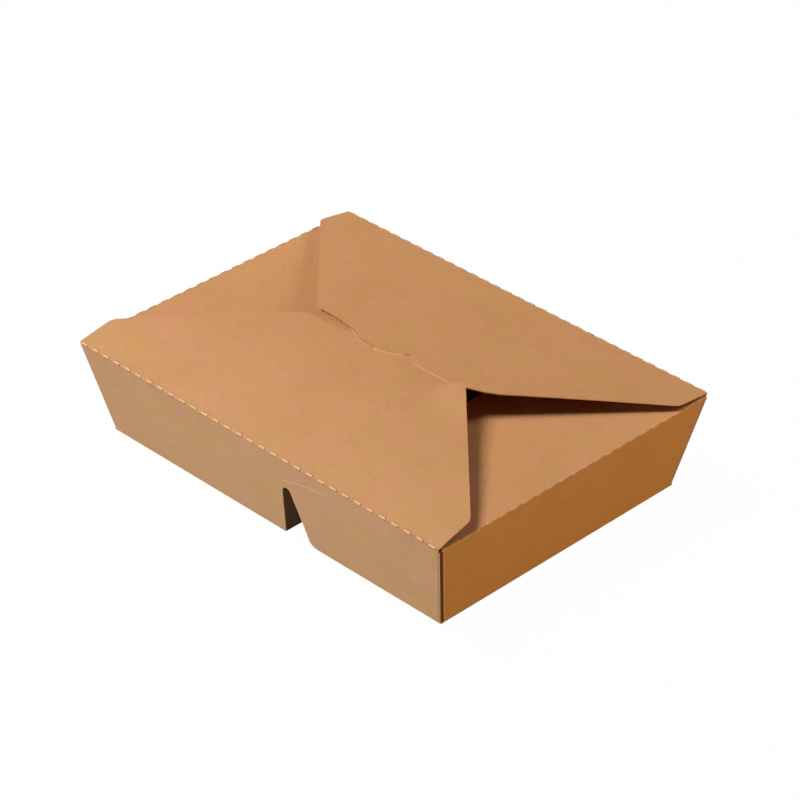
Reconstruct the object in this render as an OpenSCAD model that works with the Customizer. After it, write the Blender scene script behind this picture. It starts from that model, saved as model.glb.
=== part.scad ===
// Folding takeaway box of brown kraft board, with two compartments.
// One creased sheet makes the tray, its inverted-V divider, its web corners and its end flaps.
// Two long lid flaps lap and interlock over the middle.
// The origin is the centre of the floor's underside, X runs along the long side, and Z is up.

/* [Box] */
// Length over the rim
rim_l = 215; // [180:1:250]
// Width over the rim
rim_w = 158; // [130:1:180]
// Length of the floor
base_l = 197; // [165:1:215]
// Width of the floor
base_w = 138; // [115:1:150]
// Height of the fold that carries the lid flaps
rim_h = 45; // [40:1:60]
// Thickness of the board
board = 0.5; // [0.4:0.05:0.7]

/* [Creases] */
// Height of the bead that a crease raises on the board
crease_bulge = 0.1; // [0.05:0.01:0.15]
// Distance from one bridge of a perforated crease to the next
perf_pitch = 6.9; // [5:0.1:10]
// Length of a bridge between two cuts
bridge_l = 3.3; // [2:0.1:4]
// Diameter of the board rolled over a bridge
bridge_d = 1; // [0.9:0.05:1.2]
// Clearance between a lid flap and the wall under its crease
play = 0.25; // [0.2:0.05:0.5]

/* [Divider] */
// Place of the divider along X
divider_x = 16.8; // [-40:0.1:40]
// Width of the divider's tunnel at the floor
tunnel_w = 15.2; // [10:0.1:24]
// Height of the tunnel at its ridge
tunnel_h = 28.4; // [20:0.1:35]
// Radius inside the ridge
ridge_r = 2.8; // [1.5:0.1:4]
// Radius of a side wall's lower corner on the right of the tunnel
notch_r = 4; // [2:0.5:6]

/* [Web corners] */
// Open crevice between the folded edges of two walls
crevice = 1.2; // [0.6:0.1:2]

/* [End flaps] */
// Length of an end flap from its crease
end_flap_l = 70; // [50:1:75]
// How far the end flap's crease lies under the lid flaps' crease
tuck = 0.8; // [0.7:0.05:1.5]
// Angle at which an end flap dips into the box
end_dip = 2.6; // [1:0.1:6]
// Angle that each side of an end flap is cut back
end_taper = 14; // [8:1:20]
// Radius of the end flap's free corners
end_corner_r = 12; // [5:1:20]
// How far an end flap's root stops short of the side walls' rim
end_flap_gap = 1.8; // [1.5:0.1:5]

/* [Lid flaps] */
// How far a lid flap stops short of the rim's ends
ear_inset = 0.8; // [0.6:0.1:4]
// Length of the straight ear at each end of a lid flap
ear_l = 17.6; // [10:0.1:25]
// Radius of the ear's corner
ear_r = 5; // [2:0.5:8]
// Angle of the slanted sides from the line of the crease
slant_angle = 44.4; // [40:0.1:48]
// How far the half that laps under passes the middle of the box
under_lap = 2; // [1.5:0.1:3]
// How far the half that laps over stops short of the middle
over_short = 0.7; // [0:0.1:2]
// Radius of the tips that lap over
over_tip_r = 2; // [1:0.5:4]
// Radius of the tips that lap under
under_tip_r = 6; // [2:0.5:8]
// Gap between the lapping halves at the middle
lap_gap = 0.65; // [0.5:0.05:1.5]
// Height of the lid's middle over the rim
lid_rise = 7.8; // [5:0.1:14]
// How far the front flap bulges between crease and middle, at its left end and its right end
front_bulge = [2.2, 4.8]; // [0:0.1:7]
// How far the back flap bulges between crease and middle, at its left end and its right end
back_bulge = [1.5, 0.2]; // [0:0.1:7]

/* [Lock] */
// Where the slit starts inside the front flap, along X
slit_front_x = -4.4; // [-8:0.1:-2]
// Where the slit starts inside the front flap, in front of the middle
slit_front_y = 3.1; // [2:0.1:4]
// Where the slit starts inside the back flap, along X
slit_back_x = 8; // [4:0.1:12]
// Where the slit starts inside the back flap, behind the middle
slit_back_y = 1.8; // [1:0.1:3]
// Width of the slit
slit_w = 0.4; // [0.3:0.05:0.8]
// Where the front flap's tongue starts to narrow and where it ends, along X
front_tongue = [8.5, 17]; // [6:0.5:25]
// Where the back flap's tongue starts to narrow and where it ends, along X
back_tongue = [14.5, 23]; // [6:0.5:30]
// How far the front flap's upper tip is bent up
front_curl = 3.8; // [0:0.1:6]
// Where the front flap's bent tip starts and where it is fully up, along X
front_curl_x = [34, 45.5]; // [20:0.5:55]
// How far the back flap's upper tip is bent up
back_curl = 1.7; // [0:0.1:4]
// Where the back flap's bent tip starts and where it is fully up, along X
back_curl_x = [18, 36]; // [10:1:55]
// How far back from the free edge an upper tip starts to bend
curl_d = 24; // [15:1:40]
// How far the back flap's lower tip is bent up under the front flap's upper tip
lower_curl = 2.8; // [0:0.1:5]
// How far from its corner the lower tip starts to bend
lower_curl_r = 11; // [5:0.5:20]

/* [Hidden] */
kraft = [0.80, 0.60, 0.41];
shade = [0.76, 0.56, 0.38];

// Folds run along the middle of the board, so the floor's middle lies half a board up.
floor_z = board / 2;
side_rise = rim_h - floor_z;
side_run = (rim_w - base_w) / 2;
end_run = (rim_l - base_l) / 2;
side_lean = atan(side_run / side_rise);
end_lean = atan(end_run / side_rise);
side_slope_l = norm([side_rise, side_run]);
end_crease_h = side_rise - tuck;
end_slope_l = end_crease_h / cos(end_lean);
end_crease_x = base_l / 2 + end_crease_h * tan(end_lean);
corner_edge = [end_run, side_run, side_rise];
corner_l = norm(corner_edge);
fold_d = board + 2 * crease_bulge;
ear_u = rim_l / 2 - ear_inset;

// A side wall stops under the lid flap, and lower in the pockets under its rolled bridges.
side_top = side_slope_l - board / 2 - play;
pocket_top = side_slope_l - bridge_d / 2 - play;

// Two plies of web lie inside each end wall, let into it by a hair so that all is one sheet.
let_in = board / 10;
ply_z = 1.5 * board - let_in;
web_bead_d = 2 * fold_d;

// A side wall's folded edge bites into the web, and the end wall's folded edge stands back
// from it by the open crevice.
side_edge_in = ply_z + board - let_in + crease_bulge;
end_edge_in = crevice + web_bead_d / 2;

// How far a panel's side edges move out for each millimetre up its slope.
side_flare = end_run / side_slope_l;
end_flare = side_run / (side_rise / cos(end_lean));

// Angle that a web corner spreads, halved where it folds on itself.
side_corner = 90 + atan(side_flare);
end_corner = 90 + atan(end_flare);
web_half = (360 - 90 - side_corner - end_corner) / 2;

module on_side(s) {
    rotate([0, 0, s > 0 ? 180 : 0])
        translate([0, -base_w / 2, floor_z])
            rotate([90 + side_lean, 0, 0])
                children();
}

module on_end(s) {
    rotate([0, 0, s > 0 ? 90 : -90])
        translate([0, -base_l / 2, floor_z])
            rotate([90 + end_lean, 0, 0])
                children();
}

module plate(points) {
    linear_extrude(board, center = true)
        polygon(points);
}

// A crease is an eight-sided bead a little thicker than the board, along X.
module crease(from, to, d = fold_d) {
    translate([from, 0, 0])
        rotate([0, 90, 0])
            cylinder(h = to - from, d = d, $fn = 8);
}

// Middles of the bridges of a perforated crease of length l, spread evenly about its middle.
function bridges(l) =
    let (n = floor((l - bridge_l) / perf_pitch))
    [for (i = [0:n]) (i - n / 2) * perf_pitch];

// Inverted V with a round ridge, grown outwards by t from the tunnel's own outline.
ridge_z = tunnel_h - ridge_r;
ridge_lean = atan(tunnel_w / 2 / ridge_z) - asin(ridge_r / norm([tunnel_w / 2, ridge_z]));
function arch(t, foot) =
    let (r = ridge_r + t, half = tunnel_w / 2 + t / cos(ridge_lean) - foot * tan(ridge_lean))
    concat(
        [[-half, foot]],
        [for (a = [180 - ridge_lean:-(180 - 2 * ridge_lean) / 10:ridge_lean - 0.01])
            [r * cos(a), ridge_z + r * sin(a)]],
        [[half, foot]]
    );
foot_half = tunnel_w / 2 + board / 2 / cos(ridge_lean);

module arch_bar(points, l) {
    translate([divider_x, l / 2, 0])
        rotate([90, 0, 0])
            linear_extrude(l)
                polygon(points);
}

// A floor panel on each side of the divider. The creases round it bulge into the box.
floor_crease_z = floor_z + crease_bulge / 2;
module floor_panels() {
    difference() {
        for (span = [[-base_l / 2, divider_x - foot_half], [divider_x + foot_half, base_l / 2]]) {
            translate([span[0], -base_w / 2, 0])
                cube([span[1] - span[0], base_w, board]);
            for (s = [-1, 1])
                translate([0, s * base_w / 2, floor_crease_z])
                    crease(span[0], span[1]);
        }
        foot_holes();
    }
    for (x = [-base_l / 2, divider_x - foot_half, base_l / 2])
        floor_crease(x, base_w / 2);
    floor_crease(divider_x + foot_half, base_w / 2 - foot_hole_r);
}

module floor_crease(x, half) {
    translate([x, 0, floor_crease_z])
        rotate([0, 0, 90])
            crease(-half, half);
}

// Behind the rounded corner a hole ends the fold at the divider's right foot.
foot_hole_r = 0.8 * notch_r;
module foot_holes() {
    for (s = [-1, 1])
        translate([divider_x + foot_half, s * base_w / 2, -board])
            cylinder(h = 2 * board + notch_r, r = foot_hole_r, $fn = 24);
}

// The floor pinched up into an inverted V, and cut to the slope of the walls.
module divider() {
    intersection() {
        difference() {
            arch_bar(arch(board, floor_z), rim_w);
            arch_bar(arch(0, -board), rim_w + board);
            foot_holes();
        }
        rotate([90, 0, 90])
            linear_extrude(rim_l, center = true)
                polygon([
                    [-base_w / 2, floor_z], [base_w / 2, floor_z],
                    [rim_w / 2, rim_h], [-rim_w / 2, rim_h]
                ]);
    }
}

// The tunnel's mouth in a side wall, whose right lower corner is rounded off down to the crease.
function notch() =
    let (
        sides = arch(0, 0),
        n = len(sides),
        foot = sides[n - 1],
        flare = rounded(sides[n - 2], foot, [rim_l, 0], notch_r, 4)
    )
    concat(
        [arch(0, -board)[0]],
        [for (i = [1:n - 2]) sides[i]],
        flare,
        [[flare[len(flare) - 1].x, -board]]
    );

module side_wall(s) {
    half = base_l / 2 - side_edge_in;
    top_half = half + side_top * side_flare;
    difference() {
        on_side(s) {
            plate([[-half, 0], [half, 0], [top_half, side_top], [-top_half, side_top]]);
            for (m = [0, 1])
                mirror([m, 0, 0])
                    translate([half, 0, 0])
                        rotate([0, 0, 90 - atan(side_flare)])
                            crease(0, side_top / cos(atan(side_flare)));
        }
        arch_bar(notch(), 2 * rim_w);
        on_side(s)
            bridge_pockets();
    }
}

// Pockets in the top edge of a side wall, one under each bridge of its lid flap.
module bridge_pockets() {
    for (x = bridges(2 * ear_u))
        translate([x - bridge_l / 2 - play, pocket_top, -2 * board])
            cube([bridge_l + 2 * play, board, 4 * board]);
}

// An end wall's side edges fold back onto its inner face, two plies thick. Its top crease is
// perforated: the cuts stand open as grooves between rolled bridges.
module end_wall(s) {
    half = base_w / 2 - end_edge_in;
    top_half = half + end_slope_l * end_flare;
    edge_l = end_slope_l / cos(atan(end_flare));
    on_end(s) {
        plate([[-half, 0], [half, 0], [top_half, end_slope_l], [-top_half, end_slope_l]]);
        for (m = [0, 1])
            mirror([m, 0, 0])
                translate([half, 0, -board / 2])
                    rotate([0, 0, 90 - atan(end_flare)])
                        crease(0, edge_l, web_bead_d);
        for (x = bridges(2 * top_half - bridge_l))
            translate([x, end_slope_l, 0])
                crease(-bridge_l / 2, bridge_l / 2, bridge_d);
    }
}

// The web between two walls folds on itself and lies flat inside the end wall as two plies.
// It grows out of the floor's crease, its folded edge runs from there to its tip, and its top
// stays clear of the end flap.
web_l = corner_l - 2 * board;
web_edge = web_l * [cos(web_half), sin(web_half)];
module web_corner(s, m) {
    on_end(s)
        mirror([m, 0, 0])
            translate([base_w / 2, 0, -ply_z])
                rotate([0, 0, 90 - atan(end_flare)]) {
                    linear_extrude(2 * board, center = true)
                        polygon([
                            [-board / 4, 0],
                            [end_slope_l / cos(atan(end_flare)) - 2 * board, 0],
                            web_edge,
                            [-board / 4 - end_edge_in * end_flare, end_edge_in]
                        ]);
                    rotate([0, 0, web_half])
                        crease(2 * board, web_l - board, 2 * board + crease_bulge);
                }
}

// Points of the arc of radius r that rounds the corner at p, between the points before and after it.
function unit(v) = v / norm(v);
function rounded(before, p, after, r, n = 5) =
    let (
        a = unit(before - p),
        b = unit(after - p),
        half = acos(a * b) / 2,
        c = p + unit(a + b) * r / sin(half),
        from = p + a * r / tan(half) - c,
        to = p + b * r / tan(half) - c,
        start = atan2(from.y, from.x),
        turn = (atan2(to.y, to.x) - start + 540) % 360 - 180
    )
    [for (i = [0:n]) c + r * [cos(start + turn * i / n), sin(start + turn * i / n)]];

module end_flap(s) {
    half = rim_w / 2 - end_flap_gap;
    tip_half = half - end_flap_l * tan(end_taper);
    root = [[half, 0], [-half, 0]];
    tip = [[tip_half, end_flap_l], [-tip_half, end_flap_l]];
    rotate([0, 0, s > 0 ? 90 : -90])
        translate([0, -end_crease_x, floor_z + end_crease_h])
            rotate([-end_dip, 0, 0])
                plate(concat(
                    [root[0]],
                    rounded(root[0], tip[0], tip[1], end_corner_r),
                    rounded(tip[0], tip[1], root[1], end_corner_r),
                    [root[1]]
                ));
}

module tray() {
    color(kraft) {
        floor_panels();
        divider();
        for (s = [-1, 1]) {
            side_wall(s);
            end_wall(s);
            end_flap(s);
            for (m = [0, 1])
                web_corner(s, m);
        }
    }
}

// A lid flap is drawn from its crease outwards: u runs along the crease, towards the half that
// laps over, and d is the distance from the crease. Both flaps share this outline.
middle = rim_w / 2;
under_d = middle + under_lap;
over_d = middle - over_short;
lap_step = board + lap_gap;
function slant_u(d) = ear_u - (d - ear_l) / tan(slant_angle);
function ease(t) = let (c = min(1, max(0, t))) c * c * (3 - 2 * c);
function between(from, to, n) = [for (i = [1:n]) from + (to - from) * i / (n + 1)];
function closer(t) = 1 - pow(1 - t, 1.6);
function closing(from, to, n) = [for (i = [1:n]) from + (to - from) * closer(i / (n + 1))];

// One half's outline as [u, d] points: the ear, the slanted side and the tip.
function half_outline(end_d, tip_r) =
    let (
        ear = [ear_u, ear_l],
        tip = [slant_u(end_d), end_d],
        ear_arc = rounded([ear_u, 0], ear, tip, ear_r),
        tip_arc = rounded(ear, tip, [0, end_d], tip_r)
    )
    concat(ear_arc, closing(ear_arc[len(ear_arc) - 1], tip_arc[0], slant_columns), tip_arc);
slant_columns = 8;

// The free edge past the slit's mouth, where the tongue narrows to the upper half's own edge.
function tongue_d(u, mouth_d, tongue) =
    over_d + (mouth_d - over_d) * (1 - ease((u - tongue[0]) / (tongue[1] - tongue[0])));

// The free edge as [u, d] points from the under half's ear to the upper half's ear. The slit runs
// from inner, inside the flap, to its mouth, and the flap stops half the slit's width before it.
function columns(inner, mouth, tongue) =
    let (
        under = [for (p = half_outline(under_d, under_tip_r)) [-p.x, p.y]],
        over = half_outline(over_d, over_tip_r),
        under_end = under[len(under) - 1],
        over_end = over[len(over) - 1],
        slit_start = inner + [slit_w, -slit_w] / 2,
        slit_end = mouth - [0, slit_w / 2],
        tongue_end = [tongue[1], over_d]
    )
    concat(
        under,
        between(under_end, [inner.x - slit_w / 2, under_d], 6),
        [[inner.x - slit_w / 2, under_d], slit_start],
        between(slit_start, slit_end, 5),
        [slit_end],
        [for (u = between(tongue[0], tongue[1], 5)) [u, tongue_d(u, slit_end.y, tongue)]],
        [tongue_end],
        between(tongue_end, over_end, 8),
        [for (i = [len(over) - 1:-1:0]) over[i]]
    );

// Height of a flap's middle over its crease. The flap rises and bulges, drops on the half that
// laps under, climbs along the slit to the half that laps over, and bends up at its tips.
function side(u, d, inner, mouth) =
    2 * ease((u - inner.x) / (mouth.x - inner.x + middle - min(d, middle))) - 1;
function lift(u, d, bulge, inner, mouth, upper, upper_u, lower) =
    let (
        t = d / middle,
        along = (u / ear_u + 1) / 2,
        swell = bulge[0] * (1 - along) + bulge[1] * along,
        bent = ease((u - upper_u[0]) / (upper_u[1] - upper_u[0])) * ease(1 - (middle - d) / curl_d),
        corner_far = norm([max(0, u + slant_u(middle)), max(0, middle - d)])
    )
    lid_rise * t + 4 * swell * t * (1 - t)
    + lap_step / 2 * side(u, d, inner, mouth) * t * t
    + upper * bent
    + lower * pow(max(0, 1 - corner_far / lower_curl_r), 2);

// A sheet of board under the free edge's points, with a row of points from each to the crease.
module sheet(edge, bulge, inner, mouth, upper, upper_u, lower, rows = 11) {
    n = len(edge);
    m = rows + 1;
    face_points = [for (e = edge) for (j = [0:rows])
        let (d = e.y * closer(j / rows))
        [e.x, d, lift(e.x, d, bulge, inner, mouth, upper, upper_u, lower)]];
    points = concat(
        [for (p = face_points) p + [0, 0, board / 2]],
        [for (p = face_points) p - [0, 0, board / 2]]
    );
    under = n * m;
    faces = concat(
        [for (i = [0:n - 2]) for (j = [0:rows - 1]) let (k = i * m + j) each [
            [k, k + 1, k + m + 1], [k, k + m + 1, k + m],
            [under + k, under + k + m + 1, under + k + 1], [under + k, under + k + m, under + k + m + 1]
        ]],
        [for (i = [0:n - 2]) let (k = i * m) [k, k + m, under + k + m, under + k]],
        [for (i = [0:n - 2]) let (k = i * m + rows) [k + m, k, under + k, under + k + m]],
        [for (j = [0:rows - 1]) [j + 1, j, under + j, under + j + 1]],
        [for (j = [0:rows - 1]) let (k = (n - 1) * m + j) [k, k + 1, under + k + 1, under + k]]
    );
    polyhedron(points, faces);
}

module lid_flap(bulge, inner, mouth, tongue, upper, upper_u, lower) {
    translate([0, -rim_w / 2, rim_h]) {
        sheet(columns(inner, mouth, tongue), bulge, inner, mouth, upper, upper_u, lower);
        for (x = bridges(2 * ear_u))
            translate([x, 0, 0])
                crease(-bridge_l / 2, bridge_l / 2, bridge_d);
    }
}

module front_flap() {
    color(kraft)
        lid_flap(
            front_bulge,
            [slit_front_x, middle - slit_front_y], [slit_back_x, middle + slit_back_y],
            front_tongue, front_curl, front_curl_x, 0
        );
}

module back_flap() {
    color(shade)
        rotate([0, 0, 180])
            lid_flap(
                [back_bulge[1], back_bulge[0]],
                [-slit_back_x, middle - slit_back_y], [-slit_front_x, middle + slit_front_y],
                back_tongue, back_curl, back_curl_x, lower_curl
            );
}

tray();
front_flap();
back_flap();
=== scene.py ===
import math

import bmesh
import bpy
from mathutils import Matrix, Vector
from mathutils.bvhtree import BVHTree


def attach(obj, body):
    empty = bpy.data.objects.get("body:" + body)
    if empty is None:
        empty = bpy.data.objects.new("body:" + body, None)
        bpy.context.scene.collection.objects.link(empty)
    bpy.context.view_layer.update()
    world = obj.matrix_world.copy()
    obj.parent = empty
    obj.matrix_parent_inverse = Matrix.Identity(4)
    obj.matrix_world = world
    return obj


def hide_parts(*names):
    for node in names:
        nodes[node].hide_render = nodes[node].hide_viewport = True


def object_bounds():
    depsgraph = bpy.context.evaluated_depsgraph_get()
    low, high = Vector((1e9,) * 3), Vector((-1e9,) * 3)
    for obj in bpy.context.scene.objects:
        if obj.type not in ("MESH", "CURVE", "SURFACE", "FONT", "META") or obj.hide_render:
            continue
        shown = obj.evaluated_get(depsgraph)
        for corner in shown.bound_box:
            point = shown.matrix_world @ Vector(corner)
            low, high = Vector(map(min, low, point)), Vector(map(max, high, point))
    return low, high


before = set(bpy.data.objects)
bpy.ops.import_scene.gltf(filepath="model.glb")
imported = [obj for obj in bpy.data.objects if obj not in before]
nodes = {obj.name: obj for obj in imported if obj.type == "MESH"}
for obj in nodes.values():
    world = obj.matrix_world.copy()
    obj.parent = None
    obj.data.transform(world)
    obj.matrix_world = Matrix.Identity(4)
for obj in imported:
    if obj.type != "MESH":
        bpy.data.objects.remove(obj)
cad_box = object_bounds()

# The tray is one die-cut and creased sheet of uncoated brown kraft board, half a millimetre thick,
# folded up without glue. The board is matt, with faint clouds in its pulp, a pinkish or yellowish
# cast here and there, and very short fibres that only a close look shows.
MM = 0.001
KRAFT = (0.668, 0.328, 0.133, 1)
KRAFT_DEEP = (0.603, 0.287, 0.109, 1)
KRAFT_PINK = (0.695, 0.314, 0.151, 1)
KRAFT_GOLD = (0.652, 0.331, 0.115, 1)
FIBRE_PALE = (0.78, 0.50, 0.29, 1)
FIBRE_DARK = (0.33, 0.15, 0.06, 1)
CORE_PALE = (0.80, 0.52, 0.30, 1)

# How many lumps of each kind lie side by side in a metre
CLOUDS, CASTS, MOTTLE, SPECKS, FIBRES = 26.0, 64.0, 120.0, 700.0, 1500.0
FIBRE_STRETCH = (0.28, 1, 1)
FIBRE_TURNS = (0.2, 1.25, 2.3)
FIBRE_TILT = (0.9, 0.6, 1)
SEED_SHIFT = (0.37, 0.21, 0.13)
FELT_STRENGTH, FELT_DEEP = 0.10, 0.06 * MM
SWELL_STRENGTH, SWELL_DEEP = 0.30, 0.6 * MM
BOARD_ROUGH = 0.85
BOARD_GLOSS = 0.20

# The space between shader nodes, and the places of the colour sockets on a mix node
NODE_STEP = 220
MIX_UNDER, MIX_OVER, MIX_RESULT = 6, 7, 2


def feed(tree, socket, value):
    """Links another node's output to a socket, or sets the socket to a plain value."""
    if isinstance(value, bpy.types.NodeSocket):
        tree.links.new(value, socket)
    else:
        socket.default_value = value


def add_node(tree, kind, *in_order, **by_name):
    """Adds a shader node to the right of the others, its sockets fed in order or by name."""
    node = tree.nodes.new(kind)
    node.location.x = NODE_STEP * len(tree.nodes)
    for place, value in enumerate(in_order):
        feed(tree, node.inputs[place], value)
    for name, value in by_name.items():
        feed(tree, node.inputs[name.replace("_", " ")], value)
    return node


def pulp(tree, spot, scale, detail):
    """The pulp's unevenness at one scale, as a number about one half."""
    return add_node(tree, "ShaderNodeTexNoise", Vector=spot, Scale=scale, Detail=detail).outputs[0]


def fade_in(tree, value, start, full, strength):
    """Rises smoothly from nothing where value is start to strength where it is full."""
    node = add_node(
        tree, "ShaderNodeMapRange", Value=value, From_Min=start, From_Max=full, To_Max=strength,
    )
    node.interpolation_type = "SMOOTHSTEP"
    return node.outputs[0]


def lay_over(tree, amount, under, over):
    """Lays an amount of one colour over another."""
    node = add_node(tree, "ShaderNodeMix", amount)
    node.data_type = "RGBA"
    feed(tree, node.inputs[MIX_UNDER], under)
    feed(tree, node.inputs[MIX_OVER], over)
    return node.outputs[MIX_RESULT]


def kraft_board(name, seed, share=0.0, toward=CORE_PALE):
    """Kraft board drawn from object coordinates, with a share of another colour laid over it."""
    material = bpy.data.materials.new(name)
    material.use_nodes = True
    tree = material.node_tree
    shader = tree.nodes["Principled BSDF"]
    place = add_node(tree, "ShaderNodeTexCoord").outputs["Object"]
    shift = tuple(seed * step for step in SEED_SHIFT)
    spot = add_node(tree, "ShaderNodeMapping", Vector=place, Location=shift).outputs[0]
    clouds = pulp(tree, spot, CLOUDS, 2.0)
    mottle = pulp(tree, spot, MOTTLE, 3.0)
    cast = pulp(tree, spot, CASTS, 2.0)

    # Each layer's noise, where it sets in, where it is full, its strength and its colour
    colour = KRAFT
    for noise, start, full, strength, tone in (
        (clouds, 0.40, 0.70, 0.50, KRAFT_DEEP),
        (mottle, 0.50, 0.75, 0.35, KRAFT_DEEP),
        (cast, 0.50, 0.66, 0.70, KRAFT_PINK),
        (cast, 0.50, 0.36, 0.60, KRAFT_GOLD),
    ):
        colour = lay_over(tree, fade_in(tree, noise, start, full, strength), colour, tone)

    # The fibres lie three ways, and show pale at their crests and dark between them.
    lays = []
    for turn in FIBRE_TURNS:
        turned = tuple(turn * part for part in FIBRE_TILT)
        lay = add_node(
            tree, "ShaderNodeMapping", Vector=spot, Rotation=turned, Scale=FIBRE_STRETCH,
        )
        fibres = pulp(tree, lay.outputs[0], FIBRES, 1.0)
        lays.append(fibres)
        colour = lay_over(tree, fade_in(tree, fibres, 0.58, 0.74, 0.13), colour, FIBRE_PALE)
        colour = lay_over(tree, fade_in(tree, fibres, 0.42, 0.26, 0.09), colour, FIBRE_DARK)
    specks = fade_in(tree, pulp(tree, spot, SPECKS, 0.0), 0.80, 0.85, 0.35)
    colour = lay_over(tree, specks, colour, FIBRE_DARK)
    if share:
        colour = lay_over(tree, share, colour, toward)
    feed(tree, shader.inputs["Base Color"], colour)

    felt_height = add_node(tree, "ShaderNodeMath", lays[0], lays[1])
    felt_height = add_node(tree, "ShaderNodeMath", felt_height.outputs[0], lays[2])
    felt = add_node(
        tree, "ShaderNodeBump",
        Height=felt_height.outputs[0], Strength=FELT_STRENGTH, Distance=FELT_DEEP,
    )
    swell = add_node(
        tree, "ShaderNodeBump",
        Height=clouds, Strength=SWELL_STRENGTH, Distance=SWELL_DEEP, Normal=felt.outputs[0],
    )
    feed(tree, shader.inputs["Normal"], swell.outputs[0])
    shader.inputs["Roughness"].default_value = BOARD_ROUGH
    shader.inputs["Specular IOR Level"].default_value = BOARD_GLOSS
    return material


MERGE_WITHIN = 0.001 * MM


def board_copy(name):
    """A copy of a CAD node with its doubled points merged, ready for its faces to be dressed."""
    bm = bmesh.new()
    bm.from_mesh(nodes[name].data)
    bmesh.ops.remove_doubles(bm, verts=bm.verts, dist=MERGE_WITHIN)
    return bm


def crisp_folds(bm):
    """Keeps smooth light from running between two materials: a rolled fold is shaded by itself."""
    for edge in bm.edges:
        if len({face.material_index for face in edge.link_faces}) > 1:
            edge.smooth = False


def make_piece(bm, name, node, materials):
    """Makes a piece of board from its mesh, and lets it ride on its node."""
    mesh = bpy.data.meshes.new(name)
    bm.to_mesh(mesh)
    bm.free()
    for material in materials:
        mesh.materials.append(material)
    piece = bpy.data.objects.new(name, mesh)
    bpy.context.scene.collection.objects.link(piece)
    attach(piece, node)
    return piece


# The walls lean out as they rise: the side walls by SIDE_FLARE for each metre of height, up to the
# lid creases at RIM_Y and RIM_Z. The end walls fold at RIM_X and END_CREASE_Z.
RIM_X, RIM_Y, RIM_Z = 107.4 * MM, 79 * MM, 45 * MM
END_CREASE_Z = 44.2 * MM
SIDE_FLARE = 0.222
BOARD, CUT, FOLD, CREVICE, TUNNEL = range(5)

# A perforated crease repeats a cut and an uncut bridge along its length.
PERF_PITCH = 6.9 * MM
PITCH_MIDDLE = (0.25, 0.75)


def mid_pitch(along):
    """True for the middle half of each pitch of a perforated crease."""
    return PITCH_MIDDLE[0] < abs(along) / PERF_PITCH % 1 < PITCH_MIDDLE[1]


CORNER_X = 95 * MM
CREVICE_IN, CREVICE_OUT = 67.2 * MM, 69.13 * MM
CREVICE_LEAN = 0.2


def in_crevice(face, middle):
    """True for the plies that face each other in the gap at a folded corner, which get painted
    shade.
    """
    outward = face.normal.x * middle.x > 0 and abs(face.normal.x) > CREVICE_LEAN
    return outward and face.normal.z < 0 and abs(middle.x) > CORNER_X and all(
        CREVICE_IN < abs(vert.co.y) - SIDE_FLARE * vert.co.z < CREVICE_OUT for vert in face.verts
    )


TUNNEL_X, TUNNEL_TOP = 16 * MM, 26 * MM
TUNNEL_LEAN, TUNNEL_FALL = 0.3, -0.1


def in_tunnel(face, middle):
    """True for the underside of the folded divider, which gets painted shade."""
    under = face.normal.z < TUNNEL_FALL and abs(face.normal.x) > TUNNEL_LEAN
    return under and abs(middle.x) < TUNNEL_X and middle.z < TUNNEL_TOP


END_BEAD_R = 0.62 * MM
END_PERF_Y = 60 * MM
FOLD_ENDWAYS = 0.5


def on_end_fold(face, middle):
    """True for the end creases: their bridges, and the whole fold near the corners."""
    away = math.hypot(abs(middle.x) - RIM_X, middle.z - END_CREASE_Z)
    rolled = mid_pitch(middle.y) or abs(middle.y) > END_PERF_Y
    return away < END_BEAD_R and abs(face.normal.y) < FOLD_ENDWAYS and rolled


SIDE_WALL_Y = 68.5 * MM
NOTCH_X, NOTCH_TOP = 60 * MM, 30 * MM
CUT_SQUARE, CUT_OUTWARD = 0.985, 0.02


def on_notch_cut(face, middle):
    """True for the cut thickness of the board round a side wall's notch."""
    square = abs(face.normal.x) + abs(face.normal.z) > CUT_SQUARE
    near = abs(middle.x) < NOTCH_X and middle.z < NOTCH_TOP and abs(middle.y) > SIDE_WALL_Y
    return near and square and abs(face.normal.y) < CUT_OUTWARD


cut_board = kraft_board("cut_edge", 4, share=0.55)
# The end creases' bridges, and the whole fold near the corners, are painted paler: a painted
# highlight where the rolled board catches the light.
rim_highlight_board = kraft_board("end_fold", 10, share=0.22, toward=(1.0, 0.60, 0.30, 1))
# The plies in the gap at each folded corner are painted nearly black: painted shade, where little
# light gets in.
shaded_board = kraft_board("crevice_painted_shade", 6, share=0.88, toward=(0.045, 0.014, 0.003, 1))
# The divider's underside in the notch is painted darker: painted shade, as little light reaches
# under it.
tunnel_shade_board = kraft_board("tunnel_painted_shade", 7, share=0.55, toward=(0.05, 0.03, 0.03, 1))
tray_board = kraft_board("tray_board", 1)
bm = board_copy("tray")
for face in bm.faces:
    middle = face.calc_center_median()
    if in_crevice(face, middle):
        face.material_index = CREVICE
    elif in_tunnel(face, middle):
        face.material_index = TUNNEL
    elif on_end_fold(face, middle):
        face.material_index = FOLD
        face.smooth = True
    elif on_notch_cut(face, middle):
        face.material_index = CUT
crisp_folds(bm)
tray = make_piece(
    bm, "tray_board", "tray",
    [tray_board, cut_board, rim_highlight_board, shaded_board, tunnel_shade_board],
)
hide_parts("tray")
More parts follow.
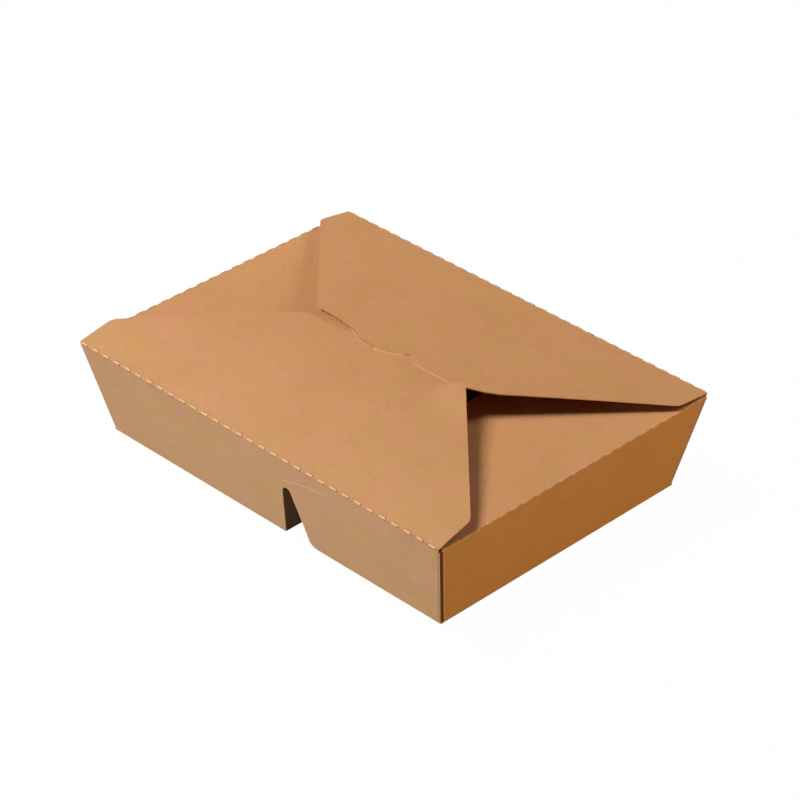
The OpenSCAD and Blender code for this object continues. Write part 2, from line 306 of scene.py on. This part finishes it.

# Each lid flap is part of the same sheet. It stays warped where its halves lap and lock, its cut
# edges show the board's paler core, and its crease is a row of rolled bridges between cuts, which
# carry a painted highlight in a paler colour.
FLAP_SHARP = math.radians(50)
EDGE_TILT = math.radians(50)
FLAP_SHADE = dict(share=0.13, toward=(0.33, 0.16, 0.06, 1))
LID_BEAD_R = 0.6 * MM
LAP_X, LAP_Y = 46 * MM, 5 * MM
SHADED_SEAM_X = -21 * MM
SEAM_STEEP = 0.5
SEAM = 3
rolled_highlight_board = kraft_board("rolled_fold_highlight", 5, share=0.55, toward=(1.0, 0.58, 0.29, 1))
# The back half's cut edge along the lap, the lip under it and the dot at the slit's end are drawn
# dark brown: painted shade.
seam_shade_board = kraft_board("seam_painted_shade", 8, share=0.45, toward=(0.25, 0.09, 0.025, 1))
sheets = {}
for name, side, seed in (("front_flap", -1, 2), ("back_flap", 1, 3)):
    bm = board_copy(name)
    for face in bm.faces:
        middle = face.calc_center_median()
        steep = abs(face.normal.z) < math.cos(EDGE_TILT)
        at_seam = side > 0 and abs(middle.x) < LAP_X and abs(middle.y) < LAP_Y
        if math.hypot(middle.y - side * RIM_Y, middle.z - RIM_Z) < LID_BEAD_R:
            face.material_index = BOARD if mid_pitch(middle.x) else FOLD
        # The back half's cut edge along the lap gets painted shade instead of the pale core.
        elif at_seam and middle.x < SHADED_SEAM_X and abs(face.normal.z) < SEAM_STEEP:
            face.material_index = SEAM
        elif steep and not at_seam:
            face.material_index = CUT
        face.smooth = True
        for edge in face.edges:
            edge.smooth = edge.calc_face_angle(0) < FLAP_SHARP
    crisp_folds(bm)
    sheets[name] = BVHTree.FromBMesh(bm)
    flap_board = kraft_board(name + "_kraft", seed, **FLAP_SHADE)
    flap = make_piece(
        bm, name + "_board", name,
        [flap_board, cut_board, rolled_highlight_board, seam_shade_board],
    )
    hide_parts(name)

# The board's outer skin runs on over each lid crease: a thin rolled line of pressed fibre closes
# the slit between the flap and the wall under it.
SKIN_R = 0.30 * MM
SKIN_END = 106.2 * MM
SKIN_IN, SKIN_DROP = 0.02 * MM, 0.28 * MM
LIE_ALONG_X = Matrix.Rotation(math.pi / 2, 4, "Y")
for name, side in (("front_crease_skin", -1), ("back_crease_skin", 1)):
    bm = bmesh.new()
    place = Matrix.Translation((0, side * (RIM_Y - SKIN_IN), RIM_Z - SKIN_DROP))
    bmesh.ops.create_cone(
        bm, cap_ends=True, cap_tris=False, segments=10,
        radius1=SKIN_R, radius2=SKIN_R, depth=2 * SKIN_END, matrix=place @ LIE_ALONG_X,
    )
    for face in bm.faces:
        face.smooth = len(face.verts) == 4
    make_piece(bm, name, "tray", [tray_board])

# Where the lid's halves cross, the real sheets press on each other. This thin lip of the front half
# closes the play left at the lap, and ends as the pale cut edge of the slit. Under the back half's
# edge it is drawn in painted shade, and along the lap it is painted a little darker than the board
# as painted shade.
LIP_THICK = 0.12 * MM
LIP_SINK = 0.03 * MM
LIP_HOLLOW = 0.42
LAP_IN = 0.2
# In mm: x, the upper half's edge in y, the share of the step that is closed, and the lip's run
LIP = (
    (-42.6, 0.95, 0.80, 0.12), (-41, 0.98, 0.80, 0.12), (-36, 0.98, 0.79, 0.12),
    (-30, 0.98, 0.76, 0.12), (-26, 0.96, 0.68, 0.15), (-24, 0.60, 0.66, 0.5),
    (-22.6, 0.50, 0.80, 0.8), (-21.5, 0.20, 0.90, 0.9), (-20, -0.40, 0.94, 1.1),
    (-18, -1.55, 0.96, 1.3), (-16, -2.60, 0.96, 1.4), (-12, -2.80, 0.96, 1.4),
    (-8, -2.88, 0.96, 1.3), (-6, -2.85, 0.96, 1.1), (-4, -2.78, 0.96, 0.9),
    (-2, -1.98, 0.94, 0.8), (0, -1.18, 0.90, 0.8), (1.5, -0.58, 0.6, 0.7), (2.6, -0.1, 0.5, 0.7),
)
LAP_FROM_X, SLIT_FROM_X = -25 * MM, -6.1 * MM
LIP_LAP, LIP_SLIT, LIP_GAP = range(3)
HIGH_ABOVE = 0.1


def sheet_top(name, x, y):
    """The height of a flap's top at a point in mm, in metres."""
    above = Vector((x * MM, y * MM, HIGH_ABOVE))
    return sheets[name].ray_cast(above, Vector((0, 0, -1)))[0].z


def draw_out(bm, rows):
    """Extrudes a section of board from each row of points to the next, closed at both ends."""
    rings = [[bm.verts.new(point) for point in rows[0]]]
    section = bm.faces.new(rings[0])
    for row in rows[1:]:
        grown = bmesh.ops.extrude_face_region(bm, geom=[section])["geom"]
        if len(rings) > 1:
            bmesh.ops.delete(bm, geom=[section], context="FACES_ONLY")
        section = next(part for part in grown if isinstance(part, bmesh.types.BMFace))
        ring = [
            min(section.verts, key=lambda vert: (vert.co - old.co).length) for old in rings[-1]
        ]
        for vert, point in zip(ring, row):
            vert.co = point
        rings.append(ring)
    return rings


cut_edge_and_highlight_board = kraft_board("cut_edge_and_highlight", 9, share=0.22, toward=(1.0, 0.58, 0.28, 1))
lap_shade_board = kraft_board("lap_painted_shade", 12, share=0.30, toward=(0.33, 0.16, 0.06, 1))
rows = []
for x, crest_y, closed, run in LIP:
    foot_y = crest_y - run
    foot = sheet_top("front_flap", x, foot_y) - LIP_SINK
    crest = foot + (sheet_top("back_flap", x, crest_y + LAP_IN) - LIP_SINK - foot) * closed
    rows.append([Vector((x * MM, y * MM, z)) for y, z in (
        (foot_y, foot),
        ((foot_y + crest_y) / 2, foot + LIP_HOLLOW * (crest - foot)),
        (crest_y, crest),
        (crest_y, crest - LIP_THICK),
        (foot_y, foot - LIP_THICK / 2),
    )])
bm = bmesh.new()
upper = {vert for ring in draw_out(bm, rows) for vert in ring[:3]}
for face in bm.faces:
    start = min(vert.co.x for vert in face.verts)
    if start > SLIT_FROM_X:
        face.material_index = LIP_SLIT
    elif start > LAP_FROM_X:
        face.material_index = LIP_LAP
    else:
        face.material_index = LIP_GAP
    face.smooth = len(face.verts) == 4 and upper.issuperset(face.verts)
bmesh.ops.recalc_face_normals(bm, faces=bm.faces)
make_piece(bm, "seam_lip", "front_flap", [lap_shade_board, cut_edge_and_highlight_board, seam_shade_board])

# The front half's tongue lies on the back half. Its edge shows there as a fine pale line, along the
# tongue's slanting side and then along its straight end: a thin pale rod that is a painted
# highlight along the edge.
TONGUE_IN = 0.15
TONGUE_SIDE_R, TONGUE_SIDE_SINK = 0.36 * MM, 0.15 * MM
TONGUE_END_R, TONGUE_END_SINK = 0.46 * MM, 0.30 * MM
TONGUE_SIDE = ((0, -1.72), (2, -0.95), (4, -0.15), (6, 0.65), (7.4, 1.3))
TONGUE_END = (
    (13, 0.3), (15, -0.4), (17, -0.72), (22, -0.76), (28, -0.76), (33, -0.76), (36.5, -0.76),
)
LINE_SIDES = 8
LINE_POINT = 0.35


def edge_line(bm, path, radius):
    """A thin round line of board along a path, its ends drawn to a point."""
    last = len(path) - 1
    turns = [2 * math.pi * k / LINE_SIDES for k in range(LINE_SIDES)]
    rows = []
    for i, point in enumerate(path):
        along = path[min(i + 1, last)] - path[max(i - 1, 0)]
        across = along.to_track_quat("Z", "Y").to_matrix().to_4x4()
        size = radius * (LINE_POINT if i in (0, last) else 1)
        rows.append([
            Matrix.Translation(point) @ across @ (size * Vector((math.cos(a), math.sin(a), 0)))
            for a in turns
        ])
    draw_out(bm, rows)
    for face in bm.faces:
        face.smooth = len(face.verts) == 4


bm = bmesh.new()
for path, sink, radius in (
    (TONGUE_SIDE, TONGUE_SIDE_SINK, TONGUE_SIDE_R),
    (TONGUE_END, TONGUE_END_SINK, TONGUE_END_R),
):
    edge_line(bm, [
        Vector((x * MM, y * MM, sheet_top("front_flap", x, y - TONGUE_IN) - sink)) for x, y in path
    ], radius)
bmesh.ops.recalc_face_normals(bm, faces=bm.faces)
make_piece(bm, "tongue_edge", "front_flap", [cut_edge_and_highlight_board])

# The back half's slit ends in a small round hole, punched so that the board doesn't tear there. It
# shows as a brown dot, which a thin disc on the flap draws dark: painted shade.
HOLE_X, HOLE_Y, HOLE_R = 6.5 * MM, 3.6 * MM, 1.3 * MM
HOLE_PROUD, HOLE_THICK = 0.02 * MM, 0.1 * MM
bm = bmesh.new()
hole = bmesh.ops.create_circle(
    bm, cap_ends=True, segments=12, radius=HOLE_R, matrix=Matrix.Translation((HOLE_X, HOLE_Y, 0)),
)
for vert in hole["verts"]:
    vert.co.z = sheet_top("back_flap", vert.co.x / MM, vert.co.y / MM) + HOLE_PROUD
deeper = bmesh.ops.extrude_face_region(bm, geom=bm.faces[:])["geom"]
deeper = [part for part in deeper if isinstance(part, bmesh.types.BMVert)]
bmesh.ops.translate(bm, verts=deeper, vec=(0, 0, -HOLE_THICK))
bmesh.ops.recalc_face_normals(bm, faces=bm.faces)
make_piece(bm, "slit_end", "back_flap", [seam_shade_board])

# The notch in each long wall is cut where the divider folds up through it. Its slanting edge
# shows the board's pale core.
NOTCH_R, NOTCH_PROUD = 0.30 * MM, 0.12 * MM
NOTCH_EDGE = (
    (18.7, 28.4), (19.1, 27.3), (19.85, 24.15), (20.65, 20.7),
    (21.5, 17.0), (22.25, 13.2), (23.3, 8.3), (24.3, 3.6),
)


def wall_line(name, points, proud, radius, board):
    """A line of board along points in x and z, in mm, on the outside of both long walls."""
    bm = bmesh.new()
    for side in (-1, 1):
        edge_line(bm, [
            Vector((x * MM, side * (RIM_Y - (RIM_Z - z * MM) * SIDE_FLARE + proud), z * MM))
            for x, z in points
        ], radius)
    bmesh.ops.recalc_face_normals(bm, faces=bm.faces)
    make_piece(bm, name, "tray", [board])


notch_board = kraft_board("notch_core", 11, share=0.6, toward=(0.98, 0.62, 0.42, 1))
wall_line("notch_edges", NOTCH_EDGE, NOTCH_PROUD, NOTCH_R, notch_board)

# The top of the folded divider presses a faint arched line into each long wall, above and beside
# the notch. The line is drawn in the paler colour of cut board, a painted highlight along its
# crest.
PRESS_R, PRESS_PROUD = 0.31 * MM, 0.02 * MM
PRESSED_ARCH = (
    (10.3, 30.9), (15.9, 32.0), (20.5, 33.6), (24.3, 34.7),
    (30.6, 36.4), (39.0, 37.8), (47.3, 38.6),
)
wall_line("divider_press", PRESSED_ARCH, PRESS_PROUD, PRESS_R, cut_board)

# The floor is a plain pale sheet. The camera sees it as white with a faint shadow of the box, and
# it throws little light back.
FLOOR_SIZE = 4.0
FLOOR_GREY = (0.15, 0.15, 0.15, 1)
FLOOR_GLOW, FLOOR_BRIGHT = 0.96, 1.03
WHITE = (1, 1, 1, 1)
bm = bmesh.new()
bmesh.ops.create_grid(bm, x_segments=1, y_segments=1, size=FLOOR_SIZE / 2)
bmesh.ops.translate(bm, verts=bm.verts, vec=(0, 0, cad_box[0].z))
floor_mesh = bpy.data.meshes.new("floor")
bm.to_mesh(floor_mesh)
bm.free()
floor = bpy.data.objects.new("floor", floor_mesh)
bpy.context.scene.collection.objects.link(floor)


def seen_ray(tree):
    """1 for a ray from the camera, off gloss or through glass, and 0 for light on the box."""
    path = add_node(tree, "ShaderNodeLightPath").outputs
    seen = path["Is Camera Ray"]
    for other in ("Is Glossy Ray", "Is Transmission Ray"):
        either = add_node(tree, "ShaderNodeMath", seen, path[other])
        either.operation = "MAXIMUM"
        seen = either.outputs[0]
    return seen


floor_paint = bpy.data.materials.new("floor_paint")
floor_paint.use_nodes = True
tree = floor_paint.node_tree
tree.nodes.clear()
matt = add_node(tree, "ShaderNodeBsdfDiffuse", Color=FLOOR_GREY)
glow = add_node(tree, "ShaderNodeEmission", Color=WHITE, Strength=FLOOR_BRIGHT)
glow_share = add_node(tree, "ShaderNodeMath", seen_ray(tree), FLOOR_GLOW)
glow_share.operation = "MULTIPLY"
both = add_node(
    tree, "ShaderNodeMixShader", glow_share.outputs[0], matt.outputs[0], glow.outputs[0],
)
add_node(tree, "ShaderNodeOutputMaterial", Surface=both.outputs[0])
floor_mesh.materials.append(floor_paint)

# Soft studio light. The key softbox stands high at the left and a cool low one at the front. A weak
# warm one reaches the right end, which lies in a shade, and one behind opens the far flap.
ROOM_DIM = 0.01
ROOM_TINT = (1.0, 0.97, 0.93, 1)
LIGHT_AIM = Vector((0, 0, 0.03))
world = bpy.data.worlds.new("studio")
bpy.context.scene.world = world
world.use_nodes = True
tree = world.node_tree
tree.nodes.clear()
white = add_node(tree, "ShaderNodeBackground", Color=WHITE, Strength=1.0)
dim = add_node(tree, "ShaderNodeBackground", Color=ROOM_TINT, Strength=ROOM_DIM)
both = add_node(tree, "ShaderNodeMixShader", seen_ray(tree), dim.outputs[0], white.outputs[0])
add_node(tree, "ShaderNodeOutputWorld", Surface=both.outputs[0])


def softbox(name, place, size, watts, colour):
    """A flat lamp that faces the box."""
    lamp = bpy.data.lights.new(name, "AREA")
    lamp.shape = "RECTANGLE"
    lamp.size, lamp.size_y = size
    lamp.energy = watts
    lamp.color = colour
    holder = bpy.data.objects.new(name, lamp)
    bpy.context.scene.collection.objects.link(holder)
    holder.location = place
    holder.rotation_euler = (LIGHT_AIM - Vector(place)).to_track_quat("-Z", "Y").to_euler()


softbox("key_softbox", (-0.52, -0.26, 1.06), (0.45, 0.45), 10.7, (1.0, 1.0, 0.99))
softbox("front_softbox", (-0.10, -1.20, 0.12), (0.9, 0.2), 13.2, (0.68, 0.81, 1.0))
softbox("right_softbox", (1.15, 0.10, 0.026), (0.6, 0.04), 4.7, (1.0, 0.66, 0.16))
softbox("back_softbox", (0.42, 0.95, 0.80), (0.5, 0.5), 5.1, (1.0, 0.93, 0.87))

# The camera stands at the near right and above, where the photograph was taken from.
CAMERA_TURN = math.radians(45.24)
CAMERA_RISE = math.radians(32.93)
CAMERA_FAR = 1.413
CAMERA_AIM = Vector((-0.0284, 0.0341, 0))
CAMERA_LENS = 145.35
FILM_WIDTH = 36
camera_data = bpy.data.cameras.new("camera")
camera_data.lens = CAMERA_LENS
camera_data.sensor_width = FILM_WIDTH
camera = bpy.data.objects.new("camera", camera_data)
bpy.context.scene.collection.objects.link(camera)
away = Vector((
    math.sin(CAMERA_TURN) * math.cos(CAMERA_RISE),
    -math.cos(CAMERA_TURN) * math.cos(CAMERA_RISE),
    math.sin(CAMERA_RISE),
))
camera.location = CAMERA_AIM + away * CAMERA_FAR
camera.rotation_euler = (-away).to_track_quat("-Z", "Y").to_euler()
bpy.context.scene.camera = camera
bpy.context.scene.view_settings.view_transform = "Standard"
